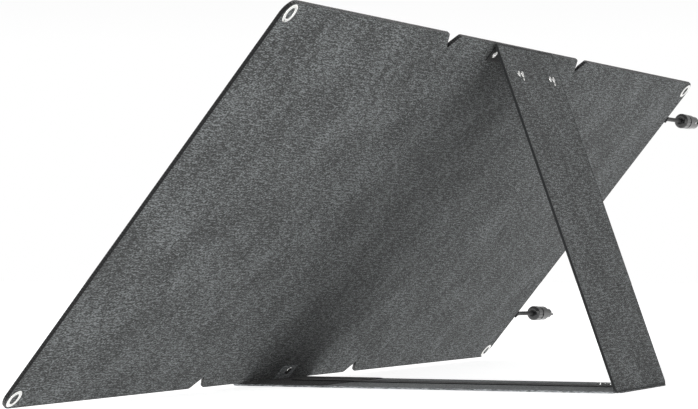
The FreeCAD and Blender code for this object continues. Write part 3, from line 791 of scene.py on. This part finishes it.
# A pressed cap's section, as shares of (radius, height): domed centre, dish, rolled rim and flange.
CAP_SHAPE = np.array([(0.0, 0.95), (0.25, 0.94), (0.5, 0.88), (0.66, 0.85), (0.76, 0.93), (0.85, 1.0),
                      (0.94, 0.86), (1.0, 0.5), (0.99, 0.1), (0.96, 0.0), (0.0, 0.0)])
RIVET_R, RIVET_DOWN = 5.2, 13 * MM
SNAP_R, SNAP_TALL, BOTTOM_SNAP_UP = 5.5, 1.7, 15 * MM
STUD_R, STUD_APART, STUD_DOWN = 3.8, 12 * MM, 32.5 * MM
PIN_R, PIN_DOWN = 1.9, 38.6 * MM


def cap_part(x, s, radius, base, height, sign, plane):
    """One pressed cap with its rim closed underneath. radius and height are in millimetres."""
    profile = CAP_SHAPE * np.array([radius, height * sign])
    points, faces, uv = spun_part(profile, (x, s, base), plane, 32)
    if sign > 0:
        faces = [f[::-1] for f in faces]
    return points, faces, uv


def tidy(piece):
    """Merges the doubled points at poles and turns all faces outwards."""
    bm = bmesh.new()
    bm.from_mesh(piece.data)
    bmesh.ops.remove_doubles(bm, verts=bm.verts, dist=2e-6)
    bmesh.ops.dissolve_degenerate(bm, edges=bm.edges, dist=1e-7)
    bmesh.ops.recalc_face_normals(bm, faces=bm.faces)
    bm.to_mesh(piece.data)
    bm.free()
    return piece


class SOLARPANEL_OT_caps(bpy.types.Operator):
    """Builds the rivet caps, pins and press studs."""
    bl_idname = "solarpanel.caps"
    bl_label = "Rivets and press studs"

    def execute(self, context):
        def caps(name, parts, body, node):
            piece = tidy(joined(name, parts))
            finish_piece(piece, body, material("nickel"), [node])
        low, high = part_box("top_rivets")
        caps("top_rivet_caps", [cap_part(x, PANEL_H - RIVET_DOWN, RIVET_R, -0.8 * MM, 1.4, -1, slope_plane)
                                for x in (low.x + RIVET_R * MM, high.x - RIVET_R * MM)],
             "middle_section", "top_rivets")
        low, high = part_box("bottom_snap")
        caps("bottom_snap_cap", [cap_part((low.x + high.x) / 2, BOTTOM_SNAP_UP, SNAP_R, -1.0 * MM,
                                          SNAP_TALL, -1, slope_plane)], "middle_section", "bottom_snap")
        low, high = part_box("foot_snaps")
        across = (low.x + high.x) / 2
        caps("foot_snap_caps", [cap_part(across, y, SNAP_R, BASE_T, SNAP_TALL, 1, ground_plane)
                                for y in (low.y + SNAP_R * MM, high.y - SNAP_R * MM)],
             "base", "foot_snaps")
        low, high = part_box("leg_studs")
        first, last = low.x + STUD_R * MM, high.x - STUD_R * MM
        face = LEG_T / 2 + 0.2 * MM
        caps("leg_stud_caps", [cap_part(x, STUD_DOWN, STUD_R, face, 1.5, 1, leg_plane)
                               for x in (first, first + STUD_APART, last - STUD_APART, last)],
             "leg", "leg_studs")
        caps("leg_pin_heads", [cap_part(x, PIN_DOWN, PIN_R, face, 1.1, 1, leg_plane)
                               for x in (first, last - STUD_APART)], "leg", "leg_pins")
        return {"FINISHED"}


STRIP_END_R = 2 * MM
FLAP_CORNER_R = 12 * MM
FOOT_FOLD_R = 0.9 * MM


def strip_cover(name, length, radius_low, radius_high, height, side, plane, seed, swell):
    """A cover like a section's, on the stand's strip. Its ends' corners have their own radii."""
    s = edge_steps(length[0], length[1], 26)
    near, far = s - length[0], length[1] - s
    inset = np.maximum(corner_inset(near, radius_low), corner_inset(far, radius_high))
    d = np.minimum(near, far)
    low, high = LEG_X0 + inset, LEG_X1 - inset
    share = edge_steps(0.0, LEG_X1 - LEG_X0, 12) / (LEG_X1 - LEG_X0)
    x = low[:, None] + (high - low)[:, None] * share[None, :]
    ss = np.broadcast_to(s[:, None], x.shape)
    edge = np.minimum(np.minimum(x - low[:, None], high[:, None] - x), d[:, None])
    fade = np.clip(edge / (25 * MM), 0, 1) ** 2
    lift = fade * (ripple(x, ss, seed, swell) + swell) - 0.4 * MM * np.exp(-edge / (0.8 * MM))
    points = plane(x, ss, height + side * lift)
    return sheet_piece(name, points, np.stack([x, ss], axis=-1), flip=side < 0)


def strip_band(name, length, radius_low, radius_high, thick, middle, plane):
    """The narrow binding round a strip of the stand: a half-round edge with two short lips."""
    profile = np.array([(1.6, 0.52), (0.5, 0.56), (-0.1, 0.48), (-0.4, 0.28), (-0.45, 0.0), (-0.4, -0.28),
                        (-0.1, -0.48), (0.5, -0.56), (1.6, -0.52), (1.7, -0.44), (0.9, -0.36), (0.9, 0.36),
                        (1.7, 0.44)]) * np.array([MM, thick])
    loop = rounded_loop([(LEG_X0, length[0], radius_low), (LEG_X1, length[0], radius_low),
                         (LEG_X1, length[1], radius_high), (LEG_X0, length[1], radius_high)])
    return joined(name, [swept_loop(loop, profile + np.array([0.0, middle]), plane)])


class SOLARPANEL_OT_leg(bpy.types.Operator):
    """Builds the leg's covers, binding and foot fold."""
    bl_idname = "solarpanel.leg"
    bl_label = "Leg"

    def execute(self, context):
        swell = context.scene.panel_sizes.leg_ripple
        length = (-LEG_TOP, LEG_END)
        for label, side, seed, share in (("outer", 1, 21, 1.0), ("inner", -1, 22, 0.3)):
            piece = strip_cover("leg_" + label + "_fabric", length, STRIP_END_R, LEG_R, side * LEG_T / 2,
                                side, leg_plane, seed, share * swell)
            thicken(piece, 0.6 * MM)
            finish_piece(piece, "leg", material("heather"), ["leg_" + label + "_cover"])
        band = strip_band("leg_binding", length, STRIP_END_R, LEG_R, LEG_T, 0.0, leg_plane)
        finish_piece(band, "leg", material("leg band"), ["leg_edge_band"])
        paint(["leg_board"], "board")
        low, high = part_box("foot_fold")
        rings, turns = 60, 16
        angle = np.linspace(0, 2 * math.pi, turns, endpoint=False)
        x = np.linspace(low.x, high.x, rings)
        to_end = np.abs((x - low.x) / (high.x - low.x) * 2 - 1)
        r = FOOT_FOLD_R * np.sqrt(np.clip(1 - to_end ** 40, 0.02, 1))
        y = (low.y + high.y) / 2 + r[:, None] * np.cos(angle)[None, :]
        z = (low.z + high.z) / 2 + r[:, None] * np.sin(angle)[None, :]
        points = np.stack([np.broadcast_to(x[:, None], y.shape), y, z], axis=-1)
        ends = [list(range(turns - 1, -1, -1)), list(range((rings - 1) * turns, rings * turns))]
        faces = grid_faces(rings, turns, close_cols=True) + ends
        uv = np.stack([points[..., 0], points[..., 2]], axis=-1).reshape(-1, 2)
        fold = tidy(mesh_piece("foot_fold_fabric", points.reshape(-1, 3), faces, uv))
        finish_piece(fold, "leg", material("heather"), ["foot_fold"])
        return {"FINISHED"}


class SOLARPANEL_OT_base(bpy.types.Operator):
    """Builds the base board's covers, binding, end flap and centre strap."""
    bl_idname = "solarpanel.base"
    bl_label = "Base board"

    def execute(self, context):
        length = (BASE_Y0, BASE_Y1)
        # The upper cover takes the lighter copy of the heather cloth: painted sheen standing in for the
        # grazing reflection on the base's top.
        for label, height, side, seed, tone in (("upper", BASE_T, 1, 31, "lining"),
                                                ("lower", 0.0, -1, 32, "heather")):
            piece = strip_cover("base_" + label + "_fabric", length, LEG_R, STRIP_END_R, height, side,
                                ground_plane, seed, 0.0)
            thicken(piece, 0.4 * MM)
            finish_piece(piece, "base", material(tone), ["base_" + label + "_cover"])
        band = strip_band("base_binding", length, LEG_R, STRIP_END_R, BASE_T * 0.88, BASE_T / 2,
                          ground_plane)
        finish_piece(band, "base", material("lining"), ["base_edge_band"])
        paint(["base_board"], "board")
        low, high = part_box("base_flap")
        s = edge_steps(low.y, high.y, 8)
        share = edge_steps(0.0, high.x - low.x, 12) / (high.x - low.x)
        d = np.minimum(s - low.y, high.y - s)
        inset = corner_inset(d, FLAP_CORNER_R)[:, None]
        x = low.x + inset + (high.x - low.x - 2 * inset) * share[None, :]
        ss = np.broadcast_to(s[:, None], x.shape)
        edge = np.minimum(np.minimum(x - low.x - inset, high.x - inset - x), d[:, None])
        n = high.z - seam_dip(edge, depth=0.2 * MM) - 0.3 * MM * np.exp(-edge / (0.6 * MM))
        flap = sheet_piece("base_flap_fabric", ground_plane(x, ss, n), np.stack([x, ss], -1))
        thicken(flap, 0.6 * MM)
        finish_piece(flap, "base", material("border"), ["base_flap"])
        low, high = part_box("base_strap")
        step_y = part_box("base_flap")[1].y + 1.2 * MM
        y = np.concatenate([np.linspace(low.y, step_y - 4 * MM, 20),
                            np.linspace(step_y - 3 * MM, step_y + 3 * MM, 13),
                            np.linspace(step_y + 4 * MM, high.y, 40)])
        drop = 0.8 * MM / (1 + np.exp((y - step_y) / (0.7 * MM)))
        across = np.linspace(-1, 1, 17)
        section = 0.25 * MM * np.clip(np.abs(across) * 8 - 7, 0, 1) ** 2
        x = (low.x + high.x) / 2 + across * (high.x - low.x) / 2
        xx, yy = np.meshgrid(x, y)
        top = BASE_T + 1.05 * MM + drop[:, None] - section[None, :]
        strap = sheet_piece("base_webbing", np.stack([xx, yy, top], -1), np.stack([yy, xx], -1))
        thicken(strap, 0.95 * MM)
        finish_piece(strap, "base", material("strap"), ["base_strap"])
        return {"FINISHED"}


class SOLARPANEL_OT_tabs(bpy.types.Operator):
    """Builds the leg's top flap and the bottom tab on the middle section's back."""
    bl_idname = "solarpanel.tabs"
    bl_label = "Flap and tab"

    def execute(self, context):
        for node, s_low, s_high, tone, thick in (
                ("top_flap", PANEL_H - 24 * MM, PANEL_H - 0.5 * MM, "border", 0.75 * MM),
                # The bottom tab takes the lighter copy of the heather cloth: painted light that lifts it
                # out of the shade under the panel.
                ("bottom_tab", 1.0 * MM, 22 * MM, "lining", 0.9 * MM)):
            low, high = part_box(node)
            xx, ss = np.meshgrid(np.linspace(low.x, high.x, 61), np.linspace(s_low, s_high, 25))
            edge = np.minimum(np.minimum(xx - low.x, high.x - xx), np.minimum(ss - s_low, s_high - ss))
            seam = seam_dip(edge, 2.5 * MM, 0.7 * MM, 0.2 * MM)
            n = -thick + seam + 0.3 * MM * np.exp(-edge / (0.7 * MM))
            piece = sheet_piece(node + "_fabric", slope_plane(xx, ss, n), np.stack([xx, ss], -1),
                                flip=True)
            thicken(piece, thick - 0.1 * MM)
            finish_piece(piece, "middle_section", material(tone), [node])
        return {"FINISHED"}


# Each lead: how far up the slope it leaves, then its route in metres, as steps away from the panel's
# edge, towards the leg and upwards.
LEAD_N = PANEL_T / 2
LEAD_ROUTES = {
    "upper": (0.451, [(0.003, 0.0, 0.0), (0.018, 0.0, 0.0), (0.044, 0.0032, -0.0002),
                      (0.070, 0.0070, -0.0008)]),
    "lower": (0.082, [(0.003, 0.0, 0.0), (0.018, 0.0, 0.0), (0.042, 0.0050, -0.0003),
                      (0.066, 0.0086, -0.0008)]),
}
SLEEVE_LONG = 8 * MM


class SOLARPANEL_OT_leads(bpy.types.Operator):
    """Builds the two output leads with their sleeves, and finishes the connectors."""
    bl_idname = "solarpanel.leads"
    bl_label = "Leads"

    def execute(self, context):
        diameter = context.scene.panel_sizes.lead_diameter
        for name, (s, route) in LEAD_ROUTES.items():
            start = slope_plane(np.array(END_C), np.array(s), np.array(LEAD_N))
            points = [(start[0] - dx, start[1] + dy, start[2] + dz) for dx, dy, dz in route]
            curve = bpy.data.curves.new(name + "_lead_cable", "CURVE")
            curve.dimensions = "3D"
            curve.bevel_depth = diameter / 2
            curve.bevel_resolution = 5
            curve.resolution_u = 14
            curve.use_fill_caps = True
            line = curve.splines.new("NURBS")
            line.points.add(len(points) - 1)
            for point, place in zip(line.points, points):
                point.co = (*place, 1.0)
            line.order_u = 3
            line.use_endpoint_u = True
            cable = bpy.data.objects.new(name + "_lead_cable", curve)
            context.scene.collection.objects.link(cable)
            curve.materials.append(material("jacket"))
            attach(cable, "cable_section")
            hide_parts(name + "_lead")
            sleeve = self.sleeve(name, points)
            paint([name + "_connector_nut", name + "_connector_body"], "housing")
            paint([name + "_connector_seal"], "seal")
            paint([name + "_connector_contact"], "contact")
        paint(["lead_exits"], "jacket")
        return {"FINISHED"}

    def sleeve(self, name, points):
        """A tapered ribbed sleeve: radius falls along the lead and rises a little at each rib."""
        rings, turns = 64, 28
        t = np.linspace(0, 1, rings)
        start, second = np.array(points[0]), np.array(points[1])
        d = (second - start) / np.linalg.norm(second - start)
        side = np.cross(d, [0, 0, 1])
        side /= np.linalg.norm(side)
        up = np.cross(side, d)
        radius = (3.75 - 0.55 * t) * MM + 0.15 * MM * np.clip(np.sin(t * 2 * math.pi * 3), 0, 1)
        radius[0] = radius[-1] = 3.0 * MM
        angle = np.linspace(0, 2 * math.pi, turns, endpoint=False)
        centre = start + d * (t * SLEEVE_LONG)[:, None]
        ring = np.cos(angle)[None, :, None] * side + np.sin(angle)[None, :, None] * up
        shell = centre[:, None, :] + radius[:, None, None] * ring
        inner = centre[:, None, :] + 2.9 * MM * ring
        whole = np.concatenate([shell, inner[::-1]])
        faces = grid_faces(2 * rings, turns, close_rows=True, close_cols=True)
        uv = np.zeros((2 * rings * turns, 2))
        piece = tidy(mesh_piece(name + "_lead_sleeve", whole.reshape(-1, 3), faces, uv))
        return finish_piece(piece, "cable_section", material("jacket"))


# Heights on the sky, as the upward part of a direction, between which the room light changes strength.
DOME_RISE = (0.08, 0.5)
# Each lamp: name, place, size in metres and share of the key light's power.
LAMPS = (("key", (2.6, 2.8, 2.6), 2.4, 1.0), ("low side", (3.0, 0.25, 0.85), 0.8, 5.0),
         ("front fill", (-1.5, -3.0, 2.2), 2.6, 2.0))
FLOOR_HALF = 9.0
FLOOR_DROP = 0.2 * MM


class SOLARPANEL_OT_stage(bpy.types.Operator):
    """Builds the floor, the light and the camera."""
    bl_idname = "solarpanel.stage"
    bl_label = "Stage"

    def execute(self, context):
        look = context.scene.stage_look
        scene = context.scene
        side = np.linspace(-FLOOR_HALF, FLOOR_HALF, 5)
        x, y = np.meshgrid(side, side)
        floor = sheet_piece("floor", np.stack([x, y, 0 * x - FLOOR_DROP], -1), np.stack([x, y], -1))
        floor.data.materials.append(paper_floor("studio paper"))
        world = bpy.data.worlds.new("studio")
        world.use_nodes = True
        tree = world.node_tree
        shade = tree.nodes["Background"]
        shade.inputs[0].default_value = (1.0, 1.0, 1.0, 1.0)
        direction = add(tree, "ShaderNodeTexCoord").outputs["Generated"]
        height = add(tree, "ShaderNodeSeparateXYZ", [(0, direction)]).outputs[2]
        dome = spread(tree, height, *DOME_RISE, look.world_strength, look.zenith_strength)
        tree.links.new(dome, shade.inputs[1])
        scene.world = world
        for name, place, size, share in LAMPS:
            light = bpy.data.lights.new(name, "AREA")
            light.size = size
            light.energy = look.key_power * share
            lamp = bpy.data.objects.new(name, light)
            lamp.location = place
            aim = np.array([0.0, 0.0, 0.2]) - np.array(place)
            lamp.rotation_mode = "QUATERNION"
            lamp.rotation_quaternion = Vector(aim).to_track_quat("-Z", "Y")
            scene.collection.objects.link(lamp)
        camera = bpy.data.cameras.new("camera")
        camera.lens = look.lens
        camera.sensor_width = 36.0
        camera.clip_end = 100.0
        holder = bpy.data.objects.new("camera", camera)
        yaw, pitch, roll = look.camera_yaw, look.camera_pitch, look.camera_roll
        ahead = np.array([-math.sin(yaw) * math.cos(pitch), -math.cos(yaw) * math.cos(pitch),
                          math.sin(pitch)])
        right = np.array([-math.cos(yaw), math.sin(yaw), 0.0])
        up = np.cross(right, ahead)
        level = math.cos(roll) * right - math.sin(roll) * up
        upward = math.sin(roll) * right + math.cos(roll) * up
        matrix = np.eye(4)
        matrix[:3, 0], matrix[:3, 1], matrix[:3, 2] = level, upward, -ahead
        matrix[:3, 3] = look.camera_place
        holder.matrix_world = Matrix(matrix.tolist())
        scene.collection.objects.link(holder)
        scene.camera = holder
        scene.view_settings.view_transform = "Standard"
        return {"FINISHED"}


OPERATORS = (SOLARPANEL_OT_stage, SOLARPANEL_OT_leads, SOLARPANEL_OT_back_covers,
             SOLARPANEL_OT_edge_bands, SOLARPANEL_OT_fronts, SOLARPANEL_OT_folds,
             SOLARPANEL_OT_eyelets, SOLARPANEL_OT_caps, SOLARPANEL_OT_leg, SOLARPANEL_OT_base,
             SOLARPANEL_OT_tabs)


class SOLARPANEL_PT_build(bpy.types.Panel):
    """Lists the steps and their sizes in the sidebar."""
    bl_idname = "SOLARPANEL_PT_build"
    bl_label = "Solar panel"
    bl_space_type = "VIEW_3D"
    bl_region_type = "UI"
    bl_category = "Solar panel"

    def draw(self, context):
        for group in (context.scene.panel_sizes, context.scene.stage_look):
            for name in group.__annotations__:
                self.layout.prop(group, name)
        for operator in OPERATORS:
            self.layout.operator(operator.bl_idname)


CLASSES = (PanelSizes, StageLook, *OPERATORS, SOLARPANEL_PT_build)


def register():
    for cls in CLASSES:
        bpy.utils.register_class(cls)
    bpy.types.Scene.panel_sizes = bpy.props.PointerProperty(type=PanelSizes)
    bpy.types.Scene.stage_look = bpy.props.PointerProperty(type=StageLook)


def unregister():
    del bpy.types.Scene.stage_look
    del bpy.types.Scene.panel_sizes
    for cls in reversed(CLASSES):
        bpy.utils.unregister_class(cls)


def main():
    register()
    for operator in OPERATORS:
        group, name = operator.bl_idname.split(".")
        if getattr(getattr(bpy.ops, group), name)() != {"FINISHED"}:
            raise RuntimeError(operator.bl_label + " was not built")


if __name__ == "__main__":
    main()
